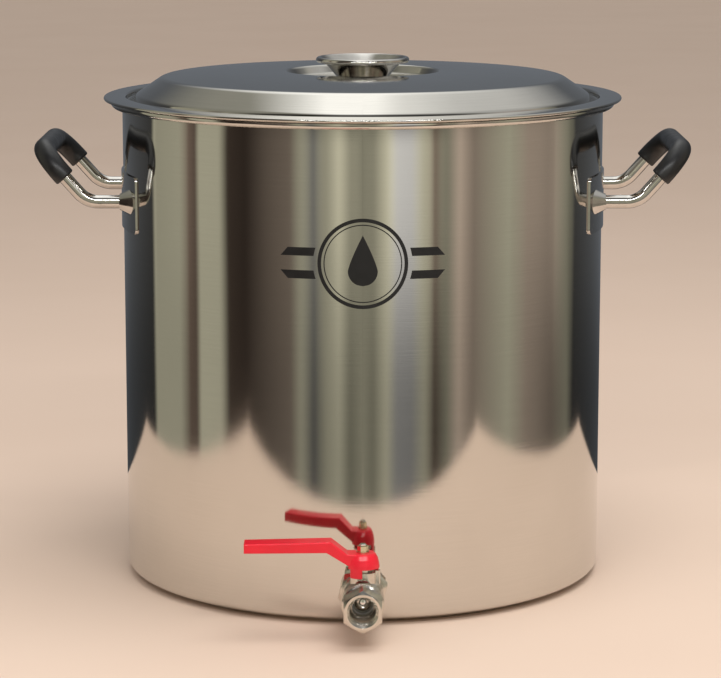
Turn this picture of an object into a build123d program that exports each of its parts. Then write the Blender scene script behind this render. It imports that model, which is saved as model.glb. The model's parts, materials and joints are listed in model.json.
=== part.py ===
from build123d import *
from math import cos, radians, sin
import os

# A 42 litre stainless brew kettle: a drawn shell with a rolled rim and a clad base, a pressed lid
# with a spun knob, two welded side handles with moulded sleeves, and a half-inch ball valve on a
# bulkhead fitting low in the front. Millimetres. +Z is up, the valve faces -Y, and the origin is
# the centre of the underside of the base.

# ---------------------------------------------------------------------------- driving dimensions
BODY_R = 190.0  # outer radius of the shell's wall
SHELL_SHEET = 1.0
RIM_TOP = 380.6  # top of the rolled rim
RIM_CURL = 3.0  # radius of the rim's roll, to the middle of the sheet
RIM_BEAD_R = 195.5  # radius at which the roll starts
RIM_FLARE = 3.0
RIM_START = 374.0  # height at which the straight wall ends
BASE_CORNER = 5.5

BASE_THICK = 4.0  # clad base: core and cap together
CAP_SHEET = 0.8
CAP_R = 178.5
CAP_CORNER = 2.0

LID_SHEET = 0.8
LID_HEM_CURL = 0.75
KNOB_SHEET = 0.8
KNOB_FOOT_R = 18.5
KNOB_RIM_R = 33.3
KNOB_HEIGHT = 16.2
KNOB_CURL = 1.85

BRACKET_SHEET = 1.5
BRACKET_BOTTOM = 280.0
BRACKET_HEIGHT = 44.0
BRACKET_WIDTH = 154.0
BRACKET_CORNER = 4.0
BOSS_TIP_R = 6.2
BOSS_TIP_X = 188.5
BOSS_TAPER = 0.5
ROD_R = 5.2
ROD_Z = 303.8  # height of the two legs where they leave the wall
LEG_Y = 60.5  # the legs stand this far each side of the middle
ROD_START_X = 183.2
ROD_BEND_X = 214.0
GRIP_X = 248.5
GRIP_Z = 342.7
LEG_BEND_R = 20.0
GRIP_BEND_R = 24.0
SLEEVE_R = 8.2
SLEEVE_BORE_R = 5.25
SLEEVE_START = 0.48  # share of the sloping leg that stays bare
SLEEVE_EDGE = 1.5

VALVE_Z = 30.3  # height of the waterway's axis
STEM_Y = -226.0
WATERWAY_R = 7.5
NIPPLE_R = 10.45
HOLE_R = 10.75
PORT_R = 10.5  # rear port of the valve, over the nipple

BALL_R = 11.5
BALL_PORT_R = 6.8
BALL_GAP = 0.1
CHAMBER_R = 12.2
SEAT_NEAR = 6.5  # the seats lie between these distances from the ball's centre
SEAT_FAR = 10.5
SEAT_R = 12.1

THREAD_R = 10.1  # outlet thread
THREAD_DEPTH = 16.0
THREAD_MOUTH_R = 11.6
OUTLET_FACE = 262.0
END_HEX = 28.0

NECK_TOP = 52.0
STEM_R = 4.0
STEM_BORE_R = 4.1
STEM_FLANGE_R = 5.6
THRUST_FACE = 44.2  # the stem's flange bears up on a washer here
THRUST_TOP = 45.2
PACKING_BOTTOM = 47.5
PACKING_TOP = 51.0
PACKING_R = 6.3
TONGUE = 3.0
LEVER_TOP = 66.3
LEVER_SHEET = 2.0

# Stations along the valve are distances from the kettle's axis, measured towards the outlet.
GASKET_FACE = 193.5
WASHER_FACE = 195.0
HEX_FACE = 206.0
BODY_REAR = 206.5
BODY_FRONT = 241.5
CAP_REAR = 242.5
NIPPLE_END = 214.5
NIPPLE_START = 174.0
INNER_GASKET_FACE = 186.5
INNER_WASHER_FACE = 185.0
LOCKNUT_FACE = 178.0

STEM_STATION = -STEM_Y
VALVE_SIDE = Plane(origin=(0, 0, VALVE_Z), x_dir=(0, -1, 0), z_dir=(-1, 0, 0))
VALVE_AXIS = Axis((0, 0, VALVE_Z), (0, -1, 0))
STEM_SIDE = Plane(origin=(0, STEM_Y, 0), x_dir=(1, 0, 0), z_dir=(0, -1, 0))
STEM_AXIS = Axis((0, STEM_Y, 0), (0, 0, 1))


# ------------------------------------------------------------------------------- shared building
def turn(plane, axis, points, radius=0.0, mode=Mode.ADD):
    """Turn a closed outline about an axis. Corners off the axis are rounded by radius."""
    with BuildSketch(plane) as section:
        with BuildLine():
            if radius:
                on_axis = [abs(r if plane is VALVE_SIDE else s) < 1e-9 for s, r in points]
                FilletPolyline(*points, radius=[0 if on else radius for on in on_axis], close=True)
            else:
                Polyline(*points, close=True)
        make_face()
    revolve(section.sketch, axis=axis, mode=mode)


def valve_disc(start, end, radius, mode=Mode.ADD):
    """A disc or a bore on the valve's axis, between two stations."""
    with BuildSketch(Plane.XZ.offset(start)) as section:
        with Locations((0, VALVE_Z)):
            Circle(radius)
    extrude(section.sketch, amount=end - start, mode=mode)


def valve_hexagon(start, end, across_flats, rotation, face_r):
    """A hexagon on the valve's axis whose corners are turned down to face_r at its outer end."""
    with BuildSketch(Plane.XZ.offset(start)) as section:
        with Locations((0, VALVE_Z)):
            RegularPolygon(across_flats / 2, 6, major_radius=False, rotation=rotation)
    extrude(section.sketch, amount=end - start)
    corner_r = across_flats / 2 * 1.16
    slope = (corner_r - face_r) * 0.75
    turn(
        VALVE_SIDE,
        VALVE_AXIS,
        [(start, 0), (start, corner_r), (end - slope, corner_r), (end, face_r), (end, 0)],
        mode=Mode.INTERSECT,
    )


def stem_disc(bottom, top, radius, mode=Mode.ADD):
    """A disc or a bore on the stem's axis, between two heights."""
    with BuildSketch(Plane.XY.offset(bottom)) as section:
        with Locations((0, STEM_Y)):
            Circle(radius)
    extrude(section.sketch, amount=top - bottom, mode=mode)


def wall_cylinder(radius, mode):
    """A tall cylinder on the kettle's axis, to fit a face to the curved wall."""
    with BuildSketch(Plane.XY) as section:
        Circle(radius)
    extrude(section.sketch, amount=RIM_TOP, mode=mode)


# ------------------------------------------------------------------------------------ the vessel
wall_mid = BODY_R - SHELL_SHEET / 2
floor_mid = BASE_THICK + SHELL_SHEET / 2
flange_mid = RIM_TOP - SHELL_SHEET / 2

# One drawn sheet, as a flat floor, a wall with the bottom corner, and a rim.
with BuildPart() as shell_floor:
    with BuildSketch(Plane.XY.offset(BASE_THICK)):
        Circle(wall_mid - BASE_CORNER)
    extrude(amount=SHELL_SHEET)

with BuildPart() as shell_wall:
    with BuildSketch(Plane.XZ):
        with BuildLine():
            FilletPolyline(
                (wall_mid - BASE_CORNER, floor_mid),
                (wall_mid, floor_mid),
                (wall_mid, RIM_START),
                radius=BASE_CORNER - 0.001,
            )
        trace(line_width=SHELL_SHEET)
    revolve(axis=Axis.Z)
    valve_disc(BODY_R - 10, BODY_R + 10, HOLE_R, mode=Mode.SUBTRACT)

with BuildPart() as shell_rim:
    with BuildSketch(Plane.XZ):
        with BuildLine():
            FilletPolyline(
                (wall_mid, RIM_START),
                (wall_mid, flange_mid),
                (RIM_BEAD_R, flange_mid),
                radius=RIM_FLARE,
            )
            CenterArc((RIM_BEAD_R, flange_mid - RIM_CURL), RIM_CURL, 90, -240)
        trace(line_width=SHELL_SHEET)
    revolve(axis=Axis.Z)

with BuildPart() as base_cap:
    with BuildSketch(Plane.XZ):
        with BuildLine():
            FilletPolyline(
                (0, CAP_SHEET / 2),
                (CAP_R - CAP_SHEET / 2, CAP_SHEET / 2),
                (CAP_R - CAP_SHEET / 2, BASE_THICK),
                radius=CAP_CORNER,
            )
        trace(line_width=CAP_SHEET)
    revolve(axis=Axis.Z)

with BuildPart() as base_core:
    with BuildSketch(Plane.XY.offset(CAP_SHEET)):
        Circle(CAP_R - CAP_SHEET - 0.1)
    extrude(amount=BASE_THICK - CAP_SHEET)
    fillet(base_core.edges().group_by(Axis.Z)[0], CAP_CORNER - CAP_SHEET / 2)

# --------------------------------------------------------------------------------- lid and knob
RECESS_FLOOR = 394.0
recess_mid = RECESS_FLOOR - LID_SHEET / 2

with BuildPart() as lid:
    with BuildSketch(Plane.XZ):
        with BuildLine() as lid_line:
            FilletPolyline(
                (0, recess_mid),
                (56.5, recess_mid),  # recess round the knob
                (60.5, 400.5),
                (105.0, 400.7),  # crown
                (158.5, 396.3),  # shoulder
                (178.6, 382.8),
                (181.5, 376.8),  # groove that drops inside the kettle's mouth
                (187.3, 376.8),
                (187.3, 381.9),
                (203.35, 381.2),  # flange over the rim
                radius=(3.5, 3.0, 900.0, 12.0, 5.0, 2.0, 2.0, 1.6),
            )
            CenterArc((203.35, 381.2 - LID_HEM_CURL), LID_HEM_CURL, 90, -200)
        trace(line_width=LID_SHEET)
    revolve(axis=Axis.Z)

knob_foot = RECESS_FLOOR + KNOB_SHEET / 2
knob_cone = Vector(KNOB_RIM_R - KNOB_FOOT_R, KNOB_HEIGHT).normalized()
knob_curl_centre = Vector(KNOB_RIM_R, knob_foot + KNOB_HEIGHT) + Vector(knob_cone.Y, -knob_cone.X) * KNOB_CURL
knob_curl_start = 90 + Vector(1, 0).get_angle(knob_cone)

with BuildPart() as lid_knob:
    with BuildSketch(Plane.XZ):
        with BuildLine():
            FilletPolyline(
                (0, knob_foot),
                (KNOB_FOOT_R, knob_foot),
                (KNOB_RIM_R, knob_foot + KNOB_HEIGHT),
                radius=3.0,
            )
            CenterArc(knob_curl_centre, KNOB_CURL, knob_curl_start, -240)
        trace(line_width=KNOB_SHEET)
    revolve(axis=Axis.Z)

# -------------------------------------------------------------------------------------- handles
handle_parts = {}
for side, toward in (("left", -1), ("right", 1)):
    out = toward * Vector(1, 0, 0)

    with BuildPart() as bracket:
        with BuildSketch(Plane.XY.offset(BRACKET_BOTTOM)):
            Circle(BODY_R + BRACKET_SHEET)
        extrude(amount=BRACKET_HEIGHT)
        plate_middle = (0, 0, BRACKET_BOTTOM + BRACKET_HEIGHT / 2)
        with BuildSketch(Plane(origin=plate_middle, x_dir=(0, 1, 0), z_dir=out)):
            RectangleRounded(BRACKET_WIDTH, BRACKET_HEIGHT, BRACKET_CORNER)
        extrude(amount=BODY_R + 20, mode=Mode.INTERSECT)
        for leg_y in (-LEG_Y, LEG_Y):
            leg_side = Plane(origin=(0, leg_y, ROD_Z), x_dir=out, z_dir=(0, -toward, 0))
            leg_axis = Axis((0, leg_y, ROD_Z), out)
            with BuildSketch(leg_side):
                with BuildLine():
                    root_x = BODY_R - 16
                    root_r = BOSS_TIP_R + (BOSS_TIP_X - root_x) * BOSS_TAPER
                    Polyline(
                        (root_x, 0),
                        (root_x, root_r),
                        (BOSS_TIP_X, BOSS_TIP_R),
                        (BOSS_TIP_X, 0),
                        close=True,
                    )
                make_face()
            revolve(axis=leg_axis)
            with BuildSketch(Plane(origin=(0, leg_y, ROD_Z), z_dir=out).offset(ROD_START_X)):
                Circle(SLEEVE_BORE_R)
            extrude(amount=BOSS_TIP_X, mode=Mode.SUBTRACT)
        wall_cylinder(BODY_R, Mode.SUBTRACT)

    bare_x = ROD_BEND_X + SLEEVE_START * (GRIP_X - ROD_BEND_X)
    bare_z = ROD_Z + SLEEVE_START * (GRIP_Z - ROD_Z)

    with BuildPart() as rod:
        with BuildLine() as rod_line:
            FilletPolyline(
                (toward * ROD_START_X, -LEG_Y, ROD_Z),
                (toward * ROD_BEND_X, -LEG_Y, ROD_Z),
                (toward * GRIP_X, -LEG_Y, GRIP_Z),
                (toward * GRIP_X, LEG_Y, GRIP_Z),
                (toward * ROD_BEND_X, LEG_Y, ROD_Z),
                (toward * ROD_START_X, LEG_Y, ROD_Z),
                radius=(LEG_BEND_R, GRIP_BEND_R, GRIP_BEND_R, LEG_BEND_R),
            )
        with BuildSketch(Plane(origin=rod_line.line @ 0, z_dir=rod_line.line % 0)):
            Circle(ROD_R)
        sweep()

    with BuildPart() as sleeve:
        with BuildLine() as sleeve_line:
            FilletPolyline(
                (toward * bare_x, -LEG_Y, bare_z),
                (toward * GRIP_X, -LEG_Y, GRIP_Z),
                (toward * GRIP_X, LEG_Y, GRIP_Z),
                (toward * bare_x, LEG_Y, bare_z),
                radius=GRIP_BEND_R,
            )
        with BuildSketch(Plane(origin=sleeve_line.line @ 0, z_dir=sleeve_line.line % 0)):
            Circle(SLEEVE_R)
            Circle(SLEEVE_BORE_R, mode=Mode.SUBTRACT)
        sweep()
        ends = sleeve.faces().filter_by(GeomType.PLANE)
        fillet(ends.edges().filter_by(lambda edge: edge.radius > ROD_R + 1), SLEEVE_EDGE)

    handle_parts[f"{side}_handle_bracket"] = bracket
    handle_parts[f"{side}_handle_rod"] = rod
    handle_parts[f"{side}_grip_sleeve"] = sleeve

# ------------------------------------------------------------------------------ bulkhead fitting
with BuildPart() as bulkhead_fitting:
    valve_hexagon(WASHER_FACE, HEX_FACE, across_flats=33, rotation=15, face_r=15.5)
    valve_disc(NIPPLE_START, NIPPLE_END, NIPPLE_R)
    valve_disc(NIPPLE_START, NIPPLE_END, WATERWAY_R, mode=Mode.SUBTRACT)

with BuildPart() as outer_gasket:
    valve_disc(BODY_R - 5, GASKET_FACE, 16.0)
    valve_disc(BODY_R - 5, GASKET_FACE, HOLE_R, mode=Mode.SUBTRACT)
    wall_cylinder(BODY_R, Mode.SUBTRACT)

with BuildPart() as outer_washer:
    valve_disc(GASKET_FACE, WASHER_FACE, 17.0)
    valve_disc(GASKET_FACE, WASHER_FACE, HOLE_R, mode=Mode.SUBTRACT)

with BuildPart() as inner_gasket:
    valve_disc(INNER_GASKET_FACE, BODY_R + 5, 16.0)
    valve_disc(INNER_GASKET_FACE, BODY_R + 5, HOLE_R, mode=Mode.SUBTRACT)
    wall_cylinder(BODY_R - SHELL_SHEET, Mode.INTERSECT)

with BuildPart() as inner_washer:
    valve_disc(INNER_WASHER_FACE, INNER_GASKET_FACE, 16.5)
    valve_disc(INNER_WASHER_FACE, INNER_GASKET_FACE, HOLE_R, mode=Mode.SUBTRACT)

with BuildPart() as inner_locknut:
    with BuildSketch(Plane.XZ.offset(LOCKNUT_FACE)):
        with Locations((0, VALVE_Z)):
            RegularPolygon(15.0, 6, major_radius=False, rotation=30)
            Circle(PORT_R, mode=Mode.SUBTRACT)
    extrude(amount=INNER_WASHER_FACE - LOCKNUT_FACE)

# ----------------------------------------------------------------------------------- ball valve
seat_rear = STEM_STATION - SEAT_FAR
seat_front = STEM_STATION + SEAT_FAR

with BuildPart() as valve_body:
    turn(
        VALVE_SIDE,
        VALVE_AXIS,
        [
            (BODY_REAR, 0),
            (BODY_REAR, 15.4),  # rear collar
            (BODY_REAR + 3.0, 15.4),
            (BODY_REAR + 4.2, 13.9),
            (BODY_REAR + 5.7, 13.9),
            (BODY_REAR + 7.0, 15.3),  # barrel
            (STEM_STATION, 15.9),
            (232.8, 15.6),
            (234.2, 14.2),  # groove
            (235.8, 14.2),
            (237.2, 15.8),  # front rib
            (BODY_FRONT, 15.8),
            (BODY_FRONT, 0),
        ],
        radius=0.5,
    )
    with BuildSketch(Plane.XY.offset(VALVE_Z + 9)):
        with Locations((0, STEM_Y)):
            RectangleRounded(18.6, 16.0, 6.0)
    extrude(amount=NECK_TOP - VALVE_Z - 9)
    with BuildSketch(Plane.XY.offset(VALVE_Z + 12)):  # stop lug beside the neck
        with Locations((10.4, STEM_Y + 1.6)):
            RectangleRounded(5.0, 3.2, 0.8)
    extrude(amount=NECK_TOP + 0.5 - VALVE_Z - 12)
    valve_disc(BODY_REAR, NIPPLE_END + 0.1, PORT_R, mode=Mode.SUBTRACT)
    valve_disc(BODY_REAR, STEM_STATION, WATERWAY_R, mode=Mode.SUBTRACT)
    valve_disc(seat_rear, seat_front, CHAMBER_R, mode=Mode.SUBTRACT)
    valve_disc(seat_front, BODY_FRONT, 12.9, mode=Mode.SUBTRACT)
    stem_disc(VALVE_Z, THRUST_TOP, STEM_FLANGE_R + 0.3, mode=Mode.SUBTRACT)
    stem_disc(VALVE_Z, NECK_TOP + 1, STEM_BORE_R, mode=Mode.SUBTRACT)
    stem_disc(PACKING_BOTTOM, NECK_TOP + 1, PACKING_R, mode=Mode.SUBTRACT)

with BuildPart() as valve_end_cap:
    valve_hexagon(CAP_REAR + 1.2, OUTLET_FACE, across_flats=END_HEX, rotation=30, face_r=13.4)
    turn(
        VALVE_SIDE,
        VALVE_AXIS,
        [
            (seat_front, 0),
            (seat_front, 12.8),
            (CAP_REAR, 12.8),
            (CAP_REAR, 15.6),  # rib behind the hexagon
            (CAP_REAR + 1.3, 15.6),
            (CAP_REAR + 2.5, 13.8),
            (CAP_REAR + 2.5, 0),
        ],
    )
    valve_disc(seat_front, OUTLET_FACE, 8.0, mode=Mode.SUBTRACT)
    valve_disc(OUTLET_FACE - THREAD_DEPTH, OUTLET_FACE, THREAD_R, mode=Mode.SUBTRACT)
    mouth = valve_end_cap.edges().filter_by(lambda e: abs(e.center().Y + OUTLET_FACE) < 0.1)
    chamfer(mouth.filter_by(GeomType.CIRCLE).sort_by(SortBy.RADIUS)[0], THREAD_MOUTH_R - THREAD_R)

with BuildPart() as end_cap_seal:
    valve_disc(BODY_FRONT, CAP_REAR, 15.0)
    valve_disc(BODY_FRONT, CAP_REAR, 12.9, mode=Mode.SUBTRACT)

ball_seats = {}
for name, near, far in (
    ("ball_seat_inner", STEM_STATION - SEAT_NEAR, STEM_STATION - SEAT_FAR),
    ("ball_seat_outer", STEM_STATION + SEAT_NEAR, STEM_STATION + SEAT_FAR),
):
    with BuildPart() as seat:
        valve_disc(min(near, far), max(near, far), SEAT_R)
        valve_disc(min(near, far), max(near, far), WATERWAY_R, mode=Mode.SUBTRACT)
        with Locations((0, STEM_Y, VALVE_Z)):
            Sphere(BALL_R + BALL_GAP, mode=Mode.SUBTRACT)
    ball_seats[name] = seat

with BuildPart() as valve_ball:
    with Locations((0, STEM_Y, VALVE_Z)):
        Sphere(BALL_R)
        Cylinder(BALL_PORT_R, 4 * BALL_R, rotation=(0, 90, 0), mode=Mode.SUBTRACT)
    with BuildSketch(Plane.XY.offset(VALVE_Z + BALL_R - TONGUE)):
        with Locations((0, STEM_Y)):
            Rectangle(TONGUE + 0.2, 4 * BALL_R)
    extrude(amount=2 * TONGUE, mode=Mode.SUBTRACT)

stem_flange = VALVE_Z + BALL_R + 0.4

with BuildPart() as valve_stem:
    with BuildSketch(Plane.XY.offset(VALVE_Z + BALL_R - TONGUE + 0.2)):
        with Locations((0, STEM_Y)):
            Rectangle(TONGUE, 8.0)
    extrude(amount=TONGUE + 0.4)
    stem_disc(stem_flange, THRUST_FACE, STEM_FLANGE_R)
    stem_disc(THRUST_FACE, LEVER_TOP - LEVER_SHEET, STEM_R)
    with BuildSketch(Plane.XY.offset(LEVER_TOP - LEVER_SHEET)):  # two flats drive the lever
        with Locations((0, STEM_Y)):
            Circle(3.4)
            Rectangle(4.6, 8.0, mode=Mode.INTERSECT)
    extrude(amount=LEVER_SHEET)
    stem_disc(LEVER_TOP, LEVER_TOP + 6.6, 2.5)
    chamfer(valve_stem.edges().group_by(Axis.Z)[-1], 0.5)

with BuildPart() as stem_thrust_washer:
    stem_disc(THRUST_FACE, THRUST_TOP, STEM_FLANGE_R)
    stem_disc(THRUST_FACE, THRUST_TOP, STEM_BORE_R, mode=Mode.SUBTRACT)

with BuildPart() as stem_packing:
    stem_disc(PACKING_BOTTOM, PACKING_TOP, PACKING_R - 0.1)
    stem_disc(PACKING_BOTTOM, PACKING_TOP, STEM_BORE_R, mode=Mode.SUBTRACT)

with BuildPart() as packing_nut:
    stem_disc(PACKING_TOP, NECK_TOP, PACKING_R - 0.1)
    with BuildSketch(Plane.XY.offset(NECK_TOP)):
        with Locations((0, STEM_Y)):
            RegularPolygon(6.0, 6, major_radius=False)
    extrude(amount=5.0)
    stem_disc(PACKING_TOP, NECK_TOP + 5, STEM_BORE_R, mode=Mode.SUBTRACT)

# The lever is a pressing: a conical hub over the packing nut, a channel open underneath for an
# arm, and two tabs that meet the stop lug at the ends of the quarter turn.
HUB_BOTTOM = 55.5
HUB_TOP_R = 8.4
HUB_BOTTOM_R = 12.4
ARM_WIDTH = 15.6
ARM_TIP_X = -87.0
TAB_BOTTOM = 49.0
TAB_INNER_R = 10.7
TAB_OUTER_R = 12.4
TAB_SPAN = 46.0
OPEN_TAB = 268.0 - TAB_SPAN / 2  # directions of the two tabs, from +X
CLOSED_TAB = 20.0 + 11.0


def arm_outline(inset):
    """Side view of the arm, its top lowered by inset and its end drawn in by inset."""
    Polyline(
        (0, LEVER_TOP - inset),
        (-11.4 - inset * 0.3, LEVER_TOP - inset),
        (-23.3 - inset * 0.3, 75.6 - inset),
        (ARM_TIP_X + inset, 74.1 - inset),
        (ARM_TIP_X + inset, 67.1 - 4 * inset),
        (-26.5, 67.6 - 4 * inset),
        (-10.6, 57.8 - 4 * inset),
        (0, 57.8 - 4 * inset),
        close=True,
    )


def on_arm_top(point):
    """True along the upper corners of the arm, which are rounded over."""
    return point.Z > 73.5 or (-23 < point.X < -11 and point.Z > 69) or (point.X > -11 and point.Z > 66)


with BuildPart() as valve_lever:
    with BuildSketch(STEM_SIDE):
        with BuildLine():
            arm_outline(0)
        make_face()
    extrude(amount=ARM_WIDTH / 2, both=True)
    side_edges = valve_lever.edges().filter_by(lambda e: abs(e.center().Y - STEM_Y) > ARM_WIDTH / 2 - 1)
    fillet(side_edges.filter_by(lambda e: on_arm_top(e.center())), 1.2)
    turn(
        STEM_SIDE,
        STEM_AXIS,
        [
            (0, HUB_BOTTOM),
            (HUB_BOTTOM_R, HUB_BOTTOM),
            (HUB_BOTTOM_R - 0.3, HUB_BOTTOM + 3),
            (HUB_BOTTOM_R - 1.3, HUB_BOTTOM + 7),
            (HUB_TOP_R + 1.2, LEVER_TOP - 1),
            (HUB_TOP_R, LEVER_TOP),
            (0, LEVER_TOP),
        ],
    )
    with BuildSketch(STEM_SIDE):
        with BuildLine():
            arm_outline(LEVER_SHEET)
        make_face()
    extrude(amount=ARM_WIDTH / 2 - LEVER_SHEET + 0.2, both=True, mode=Mode.SUBTRACT)
    turn(
        STEM_SIDE,
        STEM_AXIS,
        [
            (0, HUB_BOTTOM),
            (HUB_BOTTOM_R - LEVER_SHEET, HUB_BOTTOM),
            (HUB_BOTTOM_R - LEVER_SHEET - 0.3, HUB_BOTTOM + 3),
            (HUB_TOP_R - LEVER_SHEET + 0.6, LEVER_TOP - LEVER_SHEET),
            (0, LEVER_TOP - LEVER_SHEET),
        ],
        mode=Mode.SUBTRACT,
    )
    for direction, span in ((OPEN_TAB, TAB_SPAN), (CLOSED_TAB, 22.0)):
        with BuildSketch(Plane.XY.offset(TAB_BOTTOM)):
            with Locations((0, STEM_Y)):
                Circle(TAB_OUTER_R)
                Circle(TAB_INNER_R, mode=Mode.SUBTRACT)
            with BuildLine():
                reach = 20.0
                first, last = radians(direction - span / 2), radians(direction + span / 2)
                Polyline(
                    (0, STEM_Y),
                    (reach * cos(first), STEM_Y + reach * sin(first)),
                    (reach * cos(last), STEM_Y + reach * sin(last)),
                    close=True,
                )
            make_face(mode=Mode.INTERSECT)
        extrude(amount=HUB_BOTTOM + 0.6 - TAB_BOTTOM)
    with BuildSketch(Plane.XY.offset(LEVER_TOP - LEVER_SHEET)):
        with Locations((0, STEM_Y)):
            Circle(3.45)
            Rectangle(4.7, 8.0, mode=Mode.INTERSECT)
    extrude(amount=2 * LEVER_SHEET, mode=Mode.SUBTRACT)

with BuildPart() as lever_washer:
    stem_disc(LEVER_TOP, LEVER_TOP + 1, 4.8)
    stem_disc(LEVER_TOP, LEVER_TOP + 1, 2.6, mode=Mode.SUBTRACT)

with BuildPart() as lever_nut:
    with BuildSketch(Plane.XY.offset(LEVER_TOP + 1)):
        with Locations((0, STEM_Y)):
            RegularPolygon(3.6, 6, major_radius=False, rotation=8)
            Circle(2.6, mode=Mode.SUBTRACT)
    extrude(amount=4.0)

# --------------------------------------------------------------------------------------- output
pieces = {
    "shell_floor": shell_floor,
    "shell_wall": shell_wall,
    "shell_rim": shell_rim,
    "base_core": base_core,
    "base_cap": base_cap,
    "lid": lid,
    "lid_knob": lid_knob,
    **handle_parts,
    "bulkhead_fitting": bulkhead_fitting,
    "outer_gasket": outer_gasket,
    "outer_washer": outer_washer,
    "inner_gasket": inner_gasket,
    "inner_washer": inner_washer,
    "inner_locknut": inner_locknut,
    "valve_body": valve_body,
    "valve_end_cap": valve_end_cap,
    "end_cap_seal": end_cap_seal,
    **ball_seats,
    "valve_ball": valve_ball,
    "valve_stem": valve_stem,
    "stem_thrust_washer": stem_thrust_washer,
    "stem_packing": stem_packing,
    "packing_nut": packing_nut,
    "valve_lever": valve_lever,
    "lever_washer": lever_washer,
    "lever_nut": lever_nut,
}

os.makedirs("parts", exist_ok=True)
for name, piece in pieces.items():
    piece.part.label = name
    export_step(piece.part, f"parts/{name}.step")
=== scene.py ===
import json
import math

import bmesh
import bpy
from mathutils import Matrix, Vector


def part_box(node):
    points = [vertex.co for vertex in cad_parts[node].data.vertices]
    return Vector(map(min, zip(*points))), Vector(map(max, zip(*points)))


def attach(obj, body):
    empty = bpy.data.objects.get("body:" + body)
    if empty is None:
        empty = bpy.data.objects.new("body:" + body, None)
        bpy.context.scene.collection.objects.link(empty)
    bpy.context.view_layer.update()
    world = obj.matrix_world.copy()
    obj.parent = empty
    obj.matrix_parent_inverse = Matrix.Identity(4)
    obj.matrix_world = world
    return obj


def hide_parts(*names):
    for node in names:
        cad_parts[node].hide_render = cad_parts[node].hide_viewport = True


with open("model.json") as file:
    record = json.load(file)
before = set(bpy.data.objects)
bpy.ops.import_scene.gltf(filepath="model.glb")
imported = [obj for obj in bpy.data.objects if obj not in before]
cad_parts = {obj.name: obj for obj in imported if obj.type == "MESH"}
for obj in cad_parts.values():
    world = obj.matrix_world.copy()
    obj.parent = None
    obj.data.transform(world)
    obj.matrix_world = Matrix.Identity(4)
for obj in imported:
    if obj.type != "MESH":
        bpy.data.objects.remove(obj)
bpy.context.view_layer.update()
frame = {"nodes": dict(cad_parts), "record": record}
nodes = frame["nodes"]

# ------------------------------------------------------------------ sizes read from the frame, m
RIM_R, _, RIM_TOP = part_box("shell_rim")[1]
BASE_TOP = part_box("shell_floor")[0].z
LID_LOW, LID_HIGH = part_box("lid")
KNOB_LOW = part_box("lid_knob")[0]
NUT_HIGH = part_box("lever_nut")[1]
STEM_LOW, STEM_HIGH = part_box("valve_stem")
OUTLET = next(m for m in frame["record"]["mounts"] if m["name"] == "outlet_thread")

RIM_REACH = 0.009  # how far the rolled rim stands out past the wall
WALL_R = RIM_R - RIM_REACH
SHELL_SHEET = 0.001
BASE_CORNER = 0.0055
RIM_FLARE = 0.003
RIM_CURL = 0.003
LID_SHEET = 0.0008
LID_HEM_CURL = 0.00075
KNOB_SHEET = 0.0008
KNOB_FOOT_R = 0.0185
KNOB_RIM_R = 0.0333
KNOB_HEIGHT = 0.0162
KNOB_CURL = 0.00185


# ------------------------------------------------------------------------------- node shorthand
class Nodes:
    """Adds and links shader nodes in one tree."""

    def __init__(self, tree):
        self.tree = tree
        tree.nodes.clear()

    def add(self, kind, **settings):
        node = self.tree.nodes.new("ShaderNode" + kind)
        for key, value in settings.items():
            if hasattr(node, key):
                setattr(node, key, value)
            else:
                node.inputs[key.replace("_", " ")].default_value = value
        return node

    def link(self, source, target):
        self.tree.links.new(source, target)

    def math(self, operation, first, second=None):
        node = self.add("Math", operation=operation)
        for socket, value in zip(node.inputs, (first, second)):
            if value is None:
                continue
            if isinstance(value, (int, float)):
                socket.default_value = value
            else:
                self.link(value, socket)
        return node.outputs[0]

    def ramp(self, factor, stops):
        """A colour for each value of factor, from stops of (place, colour)."""
        node = self.add("ValToRGB")
        ramp = node.color_ramp
        while len(ramp.elements) < len(stops):
            ramp.elements.new(0.5)
        for element, (place, _) in zip(ramp.elements, stops):
            element.position = place
        for element, (_, colour) in zip(ramp.elements, stops):
            element.color = (*colour, 1)
        self.link(factor, node.inputs[0])
        return node.outputs[0]

    def noise(self, vector, scale, detail, roughness):
        node = self.add("TexNoise", Scale=scale, Detail=detail, Roughness=roughness)
        self.link(vector, node.inputs["Vector"])
        return node.outputs["Fac"]

    def spread(self, value, limits, kind="LINEAR"):
        """Maps a value from its first two limits onto the last two."""
        node = self.add("MapRange", interpolation_type=kind)
        for socket, limit in zip(node.inputs[1:5], limits):
            socket.default_value = limit
        self.link(value, node.inputs[0])
        return node.outputs[0]

    def mix(self, share, first, second, blend="MIX"):
        """Blends two colours, each a socket or a tuple, by a share from 0 to 1."""
        node = self.add("MixRGB", blend_type=blend)
        for socket, value in zip(node.inputs, (share, first, second)):
            if isinstance(value, tuple):
                socket.default_value = (*value, 1)
            elif isinstance(value, float):
                socket.default_value = value
            else:
                self.link(value, socket)
        return node.outputs[0]

    def scaled(self, vector, scales):
        """A vector multiplied along X, Y and Z."""
        node = self.add("Mapping")
        node.inputs["Scale"].default_value = scales
        self.link(vector, node.inputs["Vector"])
        return node.outputs[0]

    def object_place(self):
        return self.add("TexCoord").outputs["Object"]


def material(name):
    """A new material, its node helper and its Principled shader."""
    made = bpy.data.materials.new(name)
    made.use_nodes = True
    tree = Nodes(made.node_tree)
    shader = tree.add("BsdfPrincipled")
    output = tree.add("OutputMaterial")
    tree.link(shader.outputs[0], output.inputs[0])
    return made, tree, shader


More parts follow.
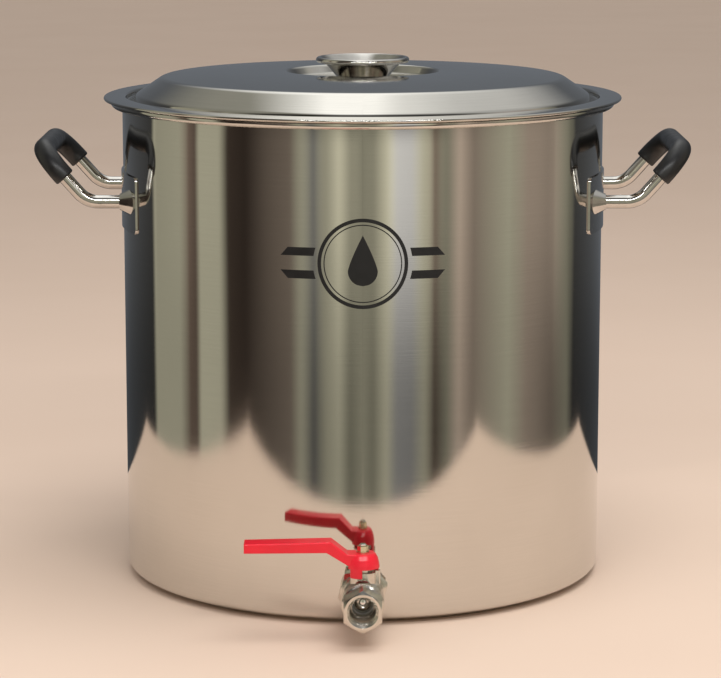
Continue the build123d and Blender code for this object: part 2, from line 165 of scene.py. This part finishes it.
def round_coordinates(tree, radius):
    """Coordinates that follow circles about the Z axis: arc length, distance from the axis, height."""
    parts = tree.add("SeparateXYZ")
    tree.link(tree.object_place(), parts.inputs[0])
    angle = tree.math("ARCTAN2", parts.outputs[0], parts.outputs[1])
    arc = tree.math("MULTIPLY", angle, radius)
    squares = [tree.math("MULTIPLY", axis, axis) for axis in parts.outputs[:2]]
    across = tree.math("SQRT", tree.math("ADD", *squares))
    joined = tree.add("CombineXYZ")
    for socket, value in zip(joined.inputs, (arc, across, parts.outputs[2])):
        tree.link(value, socket)
    return joined.outputs[0]


def bump(tree, shader, height, distance, edge):
    """Raises the surface by a height, and rounds its sharp edges over by edge."""
    node = tree.add("Bump", Strength=1.0, Distance=distance)
    tree.link(height, node.inputs["Height"])
    tree.link(node.outputs[0], shader.inputs["Normal"])
    if edge:
        soft = tree.add("Bevel", samples=4)
        soft.inputs["Radius"].default_value = edge
        tree.link(soft.outputs[0], node.inputs["Normal"])


# ------------------------------------------------------------------------------------ materials
def inside_kettle(tree, around):
    """1 on the inside of the shell, which is left as drawn, duller than the polished outside."""
    floor_middle = BASE_TOP + SHELL_SHEET / 2
    corner_top, corner_width = 0.010, 0.006
    rim_start = RIM_TOP - 0.0065
    parts = tree.add("SeparateXYZ")
    tree.link(around, parts.inputs[0])
    across, height = parts.outputs[1:3]
    corner = tree.math("MULTIPLY", tree.math("LESS_THAN", height, corner_top), corner_width)
    reach = tree.math("SUBTRACT", WALL_R - SHELL_SHEET / 2, corner)
    inside = tree.math("LESS_THAN", across, reach)
    inside = tree.math("MULTIPLY", inside, tree.math("GREATER_THAN", height, floor_middle))
    return tree.math("MULTIPLY", inside, tree.math("LESS_THAN", height, rim_start))


def mottled(tree, shader, colour, tint, roughness, cloud_scale):
    """Slight cloudy variation in a surface's colour and roughness."""
    cloud = tree.noise(tree.object_place(), cloud_scale, 4.0, 0.6)
    dark = tuple(c * (1 - tint) for c in colour)
    light = tuple(min(1.0, c * (1 + tint)) for c in colour)
    tree.link(tree.ramp(cloud, [(0.35, dark), (0.65, light)]), shader.inputs["Base Color"])
    tree.link(tree.spread(cloud, (0.3, 0.7, *roughness)), shader.inputs["Roughness"])


def brushed_round(name, colour, roughness, anisotropy, wobble):
    """Stainless sheet polished round the kettle's axis: hairlines follow circles about Z."""
    made, tree, shader = material(name)
    shader.inputs["Anisotropic"].default_value = anisotropy
    shader.inputs["Anisotropic Rotation"].default_value = 0.25
    tangent = tree.add("Tangent", direction_type="RADIAL", axis="Z")
    tree.link(tangent.outputs[0], shader.inputs["Tangent"])
    around = round_coordinates(tree, WALL_R)
    hairline = tree.noise(tree.scaled(around, (14.0, 1500.0, 1500.0)), 1.0, 4.0, 0.65)
    cloud = tree.noise(tree.scaled(around, (9.0, 9.0, 5.0)), 1.0, 4.0, 0.6)
    both = tree.math("ADD", tree.math("MULTIPLY", hairline, 0.5), tree.math("MULTIPLY", cloud, 0.5))
    dark = tuple(0.93 * c for c in colour)
    light = tuple(min(1.0, 1.05 * c) for c in colour)
    tree.link(tree.ramp(both, [(0.3, dark), (0.7, light)]), shader.inputs["Base Color"])
    polish = tree.spread(both, (0.3, 0.7, *roughness))
    inside = inside_kettle(tree, around)
    metallic = tree.math("SUBTRACT", 1.0, tree.math("MULTIPLY", inside, 0.35))
    dulled = tree.math("ADD", polish, tree.math("MULTIPLY", inside, 0.2))
    tree.link(metallic, shader.inputs["Metallic"])
    tree.link(dulled, shader.inputs["Roughness"])
    # the drawn sheet is never quite round: long shallow waves, and hairlines some micrometres deep
    waves = tree.noise(tree.scaled(around, (20.0, 6.0, 2.2)), 1.0, 2.0, 0.4)
    deep = tree.add("Bump", Strength=1.0, Distance=wobble)
    tree.link(waves, deep.inputs["Height"])
    fine = tree.add("Bump", Strength=0.35, Distance=0.00002)
    tree.link(hairline, fine.inputs["Height"])
    tree.link(deep.outputs[0], fine.inputs["Normal"])
    tree.link(fine.outputs[0], shader.inputs["Normal"])
    return made


def plain_metal(name, colour, roughness, grain, grain_depth, edge=0.0):
    """A bare or plated metal with faint cloudy variation, a fine grain and slightly worn edges."""
    made, tree, shader = material(name)
    shader.inputs["Metallic"].default_value = 1.0
    mottled(tree, shader, colour, 0.06, roughness, grain * 0.12)
    fine = tree.noise(tree.object_place(), grain, 4.0, 0.6)
    bump(tree, shader, fine, grain_depth, edge)
    return made


def dull(name, colour, roughness, grain, grain_depth, tint=0.1, coat=(0.0, 0.1), edge=0.0):
    """Rubber, silicone, PTFE, enamel or ink: slight mottling, a moulded grain and perhaps a coat."""
    made, tree, shader = material(name)
    shader.inputs["Coat Weight"].default_value, shader.inputs["Coat Roughness"].default_value = coat
    mottled(tree, shader, colour, tint, roughness, grain * 0.1)
    fine = tree.noise(tree.object_place(), grain, 3.0, 0.55)
    bump(tree, shader, fine, grain_depth, edge)
    return made


# slot: the function that makes it, colour, limits of roughness, and the function's own settings
LOOKS = {
    "stainless_satin": (brushed_round, (0.66, 0.64, 0.60), (0.05, 0.09), 0.6, 0.00018),
    "stainless_polished": (plain_metal, (0.62, 0.60, 0.57), (0.09, 0.15), 900, 0.000004),
    "aluminium_core": (plain_metal, (0.78, 0.78, 0.79), (0.35, 0.5), 700, 0.00001),
    "grip_rubber": (dull, (0.012, 0.012, 0.013), (0.30, 0.42), 1400, 0.00001),
    "silicone": (dull, (0.62, 0.60, 0.56), (0.45, 0.55), 900, 0.00001),
    "nickel_plated": (plain_metal, (0.66, 0.62, 0.56), (0.12, 0.24), 1300, 0.000012, 0.0005),
    "polished_ball": (plain_metal, (0.74, 0.73, 0.71), (0.05, 0.10), 900, 0.000002),
    "ptfe": (dull, (0.80, 0.80, 0.77), (0.35, 0.5), 900, 0.000006),
    "red_enamel": (dull, (0.83, 0.006, 0.026), (0.34, 0.42), 500, 0.00001, 0.04, (0.25, 0.12), 0.0009),
    "zinc_plated": (plain_metal, (0.70, 0.64, 0.46), (0.18, 0.3), 1500, 0.000008),
    "printed_ink": (dull, (0.008, 0.008, 0.009), (0.35, 0.5), 1500, 0.000004),
}
MATERIALS = {name: maker(name, *settings) for name, (maker, *settings) in LOOKS.items()}

for entry in frame["record"]["subparts"]:
    mesh = nodes[entry["node"]].data
    mesh.materials.clear()
    mesh.materials.append(MATERIALS[entry["material_slot"]])


# ------------------------------------------------------------------------------- mesh shorthand
def new_object(name, vertices, faces, slot):
    """A smooth piece with its material and its slot."""
    mesh = bpy.data.meshes.new(name)
    mesh.from_pydata([tuple(v) for v in vertices], [], faces)
    mesh.validate()
    mesh.update()
    piece = bpy.data.objects.new(name, mesh)
    bpy.context.scene.collection.objects.link(piece)
    mesh.shade_smooth()
    mesh.materials.append(MATERIALS[slot])
    return piece


def arc(centre, radius, start, sweep, steps):
    """Points on an arc, angles in degrees, from start through sweep."""
    return [
        (
            centre[0] + radius * math.cos(math.radians(start + sweep * i / steps)),
            centre[1] + radius * math.sin(math.radians(start + sweep * i / steps)),
        )
        for i in range(steps + 1)
    ]


def rounded(points, radii, steps=10):
    """An open line through points with its inner corners rounded to radii."""
    line = [points[0]]
    for i, radius in enumerate(radii, 1):
        before, corner, after = (Vector(p) for p in points[i - 1 : i + 2])
        back, ahead = (before - corner).normalized(), (after - corner).normalized()
        half = back.angle(ahead) / 2
        middle = corner + (back + ahead).normalized() * (radius / math.sin(half))
        first = corner + back * (radius / math.tan(half)) - middle
        last = corner + ahead * (radius / math.tan(half)) - middle
        a0, a1 = math.atan2(first.y, first.x), math.atan2(last.y, last.x)
        sweep = (a1 - a0 + math.pi) % (2 * math.pi) - math.pi
        for k in range(steps + 1):
            angle = a0 + sweep * k / steps
            line.append((middle.x + radius * math.cos(angle), middle.y + radius * math.sin(angle)))
    line.append(points[-1])
    return line


def sheet_outline(line, thickness):
    """The two faces of a sheet whose middle follows line, as one closed outline."""
    sides = [[], []]
    for i, point in enumerate(line):
        before = Vector(line[max(i - 1, 0)])
        after = Vector(line[min(i + 1, len(line) - 1)])
        along = (after - before).normalized()
        across = Vector((-along.y, along.x)) * (thickness / 2)
        sides[0].append(tuple(Vector(point) + across))
        sides[1].append(tuple(Vector(point) - across))
    return sides[0] + sides[1][::-1]


def split_long(outline, longest):
    """Adds points so that no stretch of an open line is longer than longest."""
    result = [outline[0]]
    for a, b in zip(outline, outline[1:]):
        count = max(1, math.ceil(math.dist(a, b) / longest))
        result += [tuple(Vector(a).lerp(Vector(b), k / count)) for k in range(1, count + 1)]
    return result


def outward(piece):
    """Turns every face of a closed mesh outward and marks its sharp edges."""
    work = bmesh.new()
    work.from_mesh(piece.data)
    bmesh.ops.recalc_face_normals(work, faces=work.faces)
    work.to_mesh(piece.data)
    work.free()
    piece.data.set_sharp_from_angle(angle=math.radians(40))


def lathe(name, outline, slot, segments):
    """Turns a closed outline of (radius, height) about Z. Points on the axis become one vertex."""
    vertices, rings = [], []
    for r, z in outline:
        if r < 1e-7:
            rings.append([len(vertices)])
            vertices.append((0, 0, z))
            continue
        rings.append(list(range(len(vertices), len(vertices) + segments)))
        for k in range(segments):
            angle = 2 * math.pi * k / segments
            vertices.append((r * math.cos(angle), r * math.sin(angle), z))
    faces = []
    for low, high in zip(rings, rings[1:] + rings[:1]):
        for k in range(segments):
            k2 = (k + 1) % segments
            quad = [low[k % len(low)], low[k2 % len(low)], high[k2 % len(high)], high[k % len(high)]]
            quad = list(dict.fromkeys(quad))
            if len(quad) > 2:
                faces.append(quad)
    piece = new_object(name, vertices, faces, slot)
    outward(piece)
    return piece


# ----------------------------------------------------------------------- shell, lid and its knob
def make_shell():
    """The drawn vessel: floor, bottom corner, wall and rolled rim as one sheet."""
    flange = RIM_TOP - SHELL_SHEET / 2
    middle = WALL_R - SHELL_SHEET / 2
    floor = BASE_TOP + SHELL_SHEET / 2
    curl_r = RIM_R - RIM_CURL - SHELL_SHEET / 2
    corners = [(0, floor), (middle, floor), (middle, flange), (curl_r, flange)]
    line = rounded(corners, (BASE_CORNER, RIM_FLARE))
    line = line[:-1] + arc((curl_r, flange - RIM_CURL), RIM_CURL, 90, -240, 26)
    outline = sheet_outline(split_long(line, 0.02), SHELL_SHEET)
    shell = lathe("shell_sheet", outline, "stainless_satin", 320)
    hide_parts("shell_floor", "shell_wall", "shell_rim")
    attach(shell, "kettle")


def make_lid():
    """The pressed lid: recess round the knob, crown, shoulder, groove, and a flange with a hem."""
    low = LID_LOW.z + LID_SHEET / 2
    hem_r = LID_HIGH.x - LID_HEM_CURL - LID_SHEET / 2
    flange = 0.0044
    corners = [
        (0, 0.0168),
        (0.0565, 0.0168),  # recess
        (0.0605, 0.0237),
        (0.1050, 0.0239),  # crown
        (0.1585, 0.0195),  # shoulder
        (0.1786, 0.0060),
        (0.1815, 0),  # groove
        (0.1873, 0),
        (0.1873, 0.0051),
        (hem_r, flange),
    ]
    radii = (0.0035, 0.003, 0.9, 0.012, 0.005, 0.002, 0.002, 0.0016)
    line = rounded([(r, low + z) for r, z in corners], radii)
    line = line[:-1] + arc((hem_r, low + flange - LID_HEM_CURL), LID_HEM_CURL, 90, -200, 14)
    outline = sheet_outline(split_long(line, 0.012), LID_SHEET)
    cover = lathe("lid_pressing", outline, "stainless_satin", 320)
    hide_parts("lid")
    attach(cover, "cover")


def make_knob():
    """The spun knob: a flat foot, a wide cone and a bead rolled outward at its rim."""
    foot = KNOB_LOW.z + KNOB_SHEET / 2
    cone = Vector((KNOB_RIM_R - KNOB_FOOT_R, KNOB_HEIGHT)).normalized()
    rim = Vector((KNOB_RIM_R, foot + KNOB_HEIGHT))
    centre = rim + Vector((cone.y, -cone.x)) * KNOB_CURL
    start = math.degrees(math.atan2(cone.x, -cone.y))
    line = rounded([(0, foot), (KNOB_FOOT_R, foot), tuple(rim)], (0.003,))
    line = line[:-1] + arc(centre, KNOB_CURL, start, -240, 24)
    outline = sheet_outline(split_long(line, 0.003), KNOB_SHEET)
    knob = lathe("knob_spinning", outline, "stainless_polished", 160)
    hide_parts("lid_knob")
    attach(knob, "cover")


make_shell()
make_lid()
make_knob()


# -------------------------------------------------------------------------------- printed emblem
PRINT_R = WALL_R + 0.00008  # the ink stands this far off the wall
EMBLEM_Z = 0.2745
RINGS = ((0.0335, 0.0308), (0.0290, 0.0282))
BARS = [(side, middle) for side in (-1, 1) for middle in (0.0085, -0.0085)]


def on_wall(u, v):
    """A point of the print, u along the wall and v above the emblem's middle."""
    return (PRINT_R * math.sin(u / PRINT_R), -PRINT_R * math.cos(u / PRINT_R), EMBLEM_Z + v)


def strips(rows, columns, vertices, faces):
    """Adds a filled shape, given as rows of height, left end and right end, to the mesh lists."""
    start = len(vertices)
    for v, left, right in rows:
        vertices += [on_wall(left + (right - left) * k / columns, v) for k in range(columns + 1)]
    for i in range(len(rows) - 1):
        for k in range(columns):
            a = start + i * (columns + 1) + k
            faces.append([a, a + 1, a + columns + 2, a + columns + 1])


def ring(outer, inner, vertices, faces):
    """Adds a flat ring between two radii to the mesh lists."""
    start, steps = len(vertices), 96
    for k in range(steps):
        angle = 2 * math.pi * k / steps
        for r in (inner, outer):
            vertices.append(on_wall(r * math.cos(angle), r * math.sin(angle)))
    for k in range(steps):
        a, b = start + 2 * k, start + 2 * ((k + 1) % steps)
        faces.append([a, a + 1, b + 1, b])


def droplet():
    """Rows of a droplet: a round belly that runs up to a point."""
    low, centre, tip, radius = -0.0165, -0.0055, 0.021, 0.011
    rows = []
    for k in range(49):
        v = low + (tip - low) * (k / 48)
        if v < centre:
            half = math.sqrt(max(0.0, radius**2 - (v - centre) ** 2))
        else:
            half = radius * (1 - ((v - centre) / (tip - centre)) ** 1.25)
        half = max(half, 0.0001)
        rows.append((v, -half, half))
    return rows


def bar(side, middle):
    """Rows of a bar beside the rings: hollowed to follow them, and cut at a slant at its far end."""
    thick, clear_r, far = 0.0062, 0.0368, 0.0665
    rows = []
    for i in range(5):
        v = middle + thick * (i / 4 - 0.5)
        near = math.sqrt(clear_r**2 - v * v)
        rows.append((v, *sorted((side * near, side * (far - 0.9 * abs(v))))))
    return rows


def make_emblem():
    """A plain printed device: a droplet in a double ring between four tapered bars."""
    vertices, faces = [], []
    for outer, inner in RINGS:
        ring(outer, inner, vertices, faces)
    strips(droplet(), 12, vertices, faces)
    for side, middle in BARS:
        strips(bar(side, middle), 14, vertices, faces)
    mark = new_object("wall_emblem", vertices, faces, "printed_ink")
    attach(mark, "kettle")


make_emblem()


# -------------------------------------------------------------------------------------- threads
def make_thread(name, centre, axis, radius, depth, pitch, length, slot, body):
    """A right-hand V-shaped ridge. It rises inward if depth is negative, outward if positive."""
    axis, side = Vector(axis), Vector((1, 0, 0))
    third = axis.cross(side)
    steps = 40  # in one turn
    total = int(length / pitch * steps)
    half_width, sunk = 0.46, 0.05  # shares of the pitch and of the depth
    section = [(-half_width, -sunk), (0.0, 1.0), (half_width, -sunk)]
    vertices, faces = [], []
    for i in range(total + 1):
        angle = 2 * math.pi * i / steps
        fade = min(1.0, i / (steps * 0.5), (total - i) / (steps * 0.5))
        out = side * math.cos(angle) + third * math.sin(angle)
        for along, rise in section:
            r = radius + depth * rise * (fade if rise > 0 else 1)
            vertices.append(centre + axis * (pitch * (i / steps + along)) + out * r)
    for i in range(total):
        for k in range(3):
            a, b = 3 * i + k, 3 * i + (k + 1) % 3
            faces.append([a, b, b + 3, a + 3])
    faces += [[0, 1, 2], [3 * total, 3 * total + 2, 3 * total + 1]]
    thread = new_object(name, vertices, faces, slot)
    outward(thread)
    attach(thread, body)


def make_outlet_thread():
    """Half-inch pipe thread, 14 to the inch, in the outlet's bore."""
    radius, bore = (OUTLET["dims"][key] / 1000 for key in ("r_mm", "length_mm"))
    start = Vector(OUTLET["pos_m"]) + Vector((0, bore / 2 - 0.0013, 0))
    depth, pitch, length = -0.00085, 0.001814, bore - 0.002
    size = (radius, depth, pitch, length)
    make_thread("outlet_thread_ridge", start, (0, -1, 0), *size, "nickel_plated", "kettle")


def make_stem_thread():
    """Fine thread on the end of the stem, above the lever's nut."""
    middle = (STEM_LOW + STEM_HIGH) / 2
    start = Vector((middle.x, middle.y, NUT_HIGH.z - 0.0004))
    radius, depth, pitch, length = 0.00247, 0.00028, 0.0007, STEM_HIGH.z - NUT_HIGH.z - 0.0005
    size = (radius, depth, pitch, length)
    make_thread("stem_thread_ridge", start, (0, 0, 1), *size, "zinc_plated", "valve_handle")


make_outlet_thread()
make_stem_thread()


# -------------------------------------------------------------------------------------- staging
def make_floor():
    """A pale board under the kettle, and the same pale ground past it."""
    made, tree, shader = material("floor_paint")
    shader.inputs["Roughness"].default_value = 0.7
    shader.inputs["Specular IOR Level"].default_value = 0.2
    cloud = tree.noise(tree.object_place(), 3.0, 3.0, 0.5)
    tone = [(0.3, (0.80, 0.61, 0.48)), (0.7, (0.82, 0.63, 0.50))]
    tree.link(tree.ramp(cloud, tone), shader.inputs["Base Color"])
    near_x, near_front, near_back, far = 0.68, -0.57, 0.32, 9.0

    def flat(name, rectangles):
        """One mesh of level rectangles, each given as two opposite corners."""
        vertices, faces = [], []
        for x0, y0, x1, y1 in rectangles:
            faces.append([len(vertices) + i for i in range(4)])
            vertices += [(x0, y0, 0), (x1, y0, 0), (x1, y1, 0), (x0, y1, 0)]
        mesh = bpy.data.meshes.new(name)
        mesh.from_pydata(vertices, [], faces)
        mesh.materials.append(made)
        piece = bpy.data.objects.new(name, mesh)
        bpy.context.scene.collection.objects.link(piece)
        return piece

    flat("floor_near", [(-near_x, near_front, near_x, near_back)])
    ground = flat(
        "floor_far",
        [
            (-far, -far, far, near_front),
            (-far, near_back, far, far),
            (-far, near_front, -near_x, near_back),
            (near_x, near_front, far, near_back),
        ],
    )
    ground.visible_glossy = False


# Directions are in degrees from the front, towards +X. Each panel has its tone and warmth.
PANELS = [
    (-178, 0.068, "cool"),
    (-119, 0.026, "grey"),
    (-117, 0.34, "beige"),
    (-97, 0.34, "beige"),
    (-90, 0.09, "brown"),
    (-85.5, 0.075, "brown"),
    (-83, 0.42, "beige"),
    (-71, 0.40, "beige"),
    (-66, 0.035, "brown"),
    (-57, 0.024, "brown"),
    (-34, 0.12, "pink"),
    (-29, 0.29, "beige"),
    (-23, 0.075, "grey"),
    (-17, 0.26, "beige"),
    (-11, 0.35, "beige"),
    (-6, 0.15, "beige"),
    (0, 0.25, "beige"),
    (5, 0.17, "beige"),
    (11, 0.38, "beige"),
    (16, 0.21, "grey"),
    (23, 0.19, "grey"),
    (29, 0.29, "beige"),
    (34, 0.045, "brown"),
    (40, 0.17, "beige"),
    (46, 0.35, "pink"),
    (53, 0.18, "pink"),
    (73, 0.35, "beige"),
    (84, 0.22, "pink"),
    (102, 0.115, "pink"),
    (115, 0.17, "beige"),
    (121, 0.025, "grey"),
    (178, 0.068, "cool"),
]
TINTS = {
    "cool": (0.92, 1.0, 1.12),
    "grey": (1.0, 0.99, 0.97),
    "beige": (1.04, 1.0, 0.76),
    "brown": (1.25, 0.92, 0.72),
    "pink": (1.16, 0.94, 0.76),
}
# The panels are this much brighter higher up, most of all a window to the right of the middle.
GAINS = [
    (-180, 2.4), (-121, 1.9), (-115, 1.05), (-97, 1.2), (-91, 1.8), (-83, 1.12), (-57, 1.2),
    (-46, 1.5), (-29, 1.3), (-23, 2.5), (-17, 1.5), (-6, 2.5), (0, 1.15), (5, 1.9), (11, 1.8),
    (16, 3.9), (23, 4.0), (29, 2.0), (34, 4.0), (40, 1.5), (75, 1.25), (98, 2.1), (104, 3.0),
    (116, 1.2), (121, 2.3), (180, 2.4),
]
TOP_GAIN = 4.0
# The ceiling from -X to +X, by the direction's X component mapped to 0 to 1: a bright middle.
CEILING = [
    (0.0, (0.24, 0.235, 0.19)),
    (0.33, (0.34, 0.335, 0.29)),
    (0.39, (0.95, 0.95, 0.91)),
    (0.44, (1.45, 1.45, 1.41)),
    (0.52, (1.45, 1.45, 1.41)),
    (0.57, (1.05, 1.05, 1.02)),
    (0.65, (0.76, 0.76, 0.74)),
    (0.76, (0.58, 0.58, 0.56)),
    (1.0, (0.48, 0.48, 0.48)),
]
SOFT_LIGHT = (0.50, 0.50, 0.50)  # what matt surfaces are lit by
BACKDROP = (0.66, 0.62, 0.58)  # what the camera sees past the floor


def mix_shaders(tree, share, first, second):
    """The first shader for rays whose share is 0, and the second for those whose share is 1."""
    node = tree.add("MixShader")
    for socket, source in zip(node.inputs, (share, first, second)):
        tree.link(source, socket)
    return node.outputs[0]


def background(tree, colour):
    """A background of one colour, or of the colours that a socket gives."""
    node = tree.add("Background", Strength=1.0)
    if isinstance(colour, tuple):
        node.inputs[0].default_value = (*colour, 1)
    else:
        tree.link(colour, node.inputs[0])
    return node.outputs[0]


def make_world():
    """A soft studio surround: pale panels and dark gaps round the kettle, and a pale ceiling."""
    world = bpy.data.worlds.new("studio")
    bpy.context.scene.world = world
    world.use_nodes = True
    tree = Nodes(world.node_tree)
    parts = tree.add("SeparateXYZ")
    tree.link(tree.add("TexCoord").outputs["Generated"], parts.inputs[0])
    x, y, z = parts.outputs
    turn = tree.math("ARCTAN2", x, tree.math("MULTIPLY", y, -1.0))
    share = tree.math("ADD", tree.math("DIVIDE", turn, 2 * math.pi), 0.5)

    def round_ramp(stops):
        return tree.ramp(share, [((degrees + 180) / 360, colour) for degrees, colour in stops])

    around = round_ramp([(d, tuple(tone * c for c in TINTS[tint])) for d, tone, tint in PANELS])
    gain = round_ramp([(degrees, (g / TOP_GAIN,) * 3) for degrees, g in GAINS])
    raised = tree.spread(z, (-0.20, -0.12, 0.0, 1.0), "SMOOTHSTEP")
    gain = tree.mix(raised, (1 / TOP_GAIN,) * 3, gain)
    walls = tree.mix(1.0, around, gain, "MULTIPLY")
    walls = tree.mix(1.0, walls, (TOP_GAIN,) * 3, "MULTIPLY")

    ceiling = tree.ramp(tree.math("ADD", tree.math("MULTIPLY", x, 0.5), 0.5), CEILING)
    dim_in_front = tree.spread(y, (-0.45, 0.0, 0.08, 1.0), "SMOOTHSTEP")
    ceiling = tree.mix(1.0, ceiling, dim_in_front, "MULTIPLY")
    overhead = tree.spread(z, (0.30, 0.75, 0.0, 1.0), "SMOOTHSTEP")
    mirrored = background(tree, tree.mix(overhead, walls, ceiling))

    rays = tree.add("LightPath").outputs
    surround = mix_shaders(tree, rays["Is Diffuse Ray"], mirrored, background(tree, SOFT_LIGHT))
    seen = mix_shaders(tree, rays["Is Camera Ray"], surround, background(tree, BACKDROP))
    tree.link(seen, tree.add("OutputWorld").inputs[0])


def area_light(name, place, target, size, power):
    """A rectangular lamp at place that points at target, unseen by the camera."""
    data = bpy.data.lights.new(name, "AREA")
    data.shape = "RECTANGLE"
    data.size, data.size_y = size
    data.energy = power
    lamp = bpy.data.objects.new(name, data)
    lamp.location = place
    lamp.rotation_euler = (Vector(target) - Vector(place)).to_track_quat("-Z", "Y").to_euler()
    bpy.context.scene.collection.objects.link(lamp)
    lamp.visible_camera = False
    return lamp


def make_camera():
    """A long lens a little above the lid, tilted down at the kettle."""
    tilt = math.radians(10.15)
    data = bpy.data.cameras.new("camera")
    data.sensor_width = 36.0
    data.lens = 140.2
    data.clip_end = 50.0
    eye = bpy.data.objects.new("camera", data)
    eye.location = (-0.0017, -2.225, 0.583)
    eye.rotation_euler = (math.pi / 2 - tilt, 0, 0)
    bpy.context.scene.collection.objects.link(eye)
    bpy.context.scene.camera = eye


make_camera()
make_floor()
make_world()
overhead = area_light("overhead", (0.5, -0.4, 2.4), target=(0, 0, 0.1), size=(1.8, 1.4), power=30)
overhead.visible_glossy = False
area_light("strip", (0.1, -1.9, 1.65), target=(0, -0.1, 0.2), size=(2.4, 0.12), power=20)
bpy.context.scene.view_settings.view_transform = "Standard"
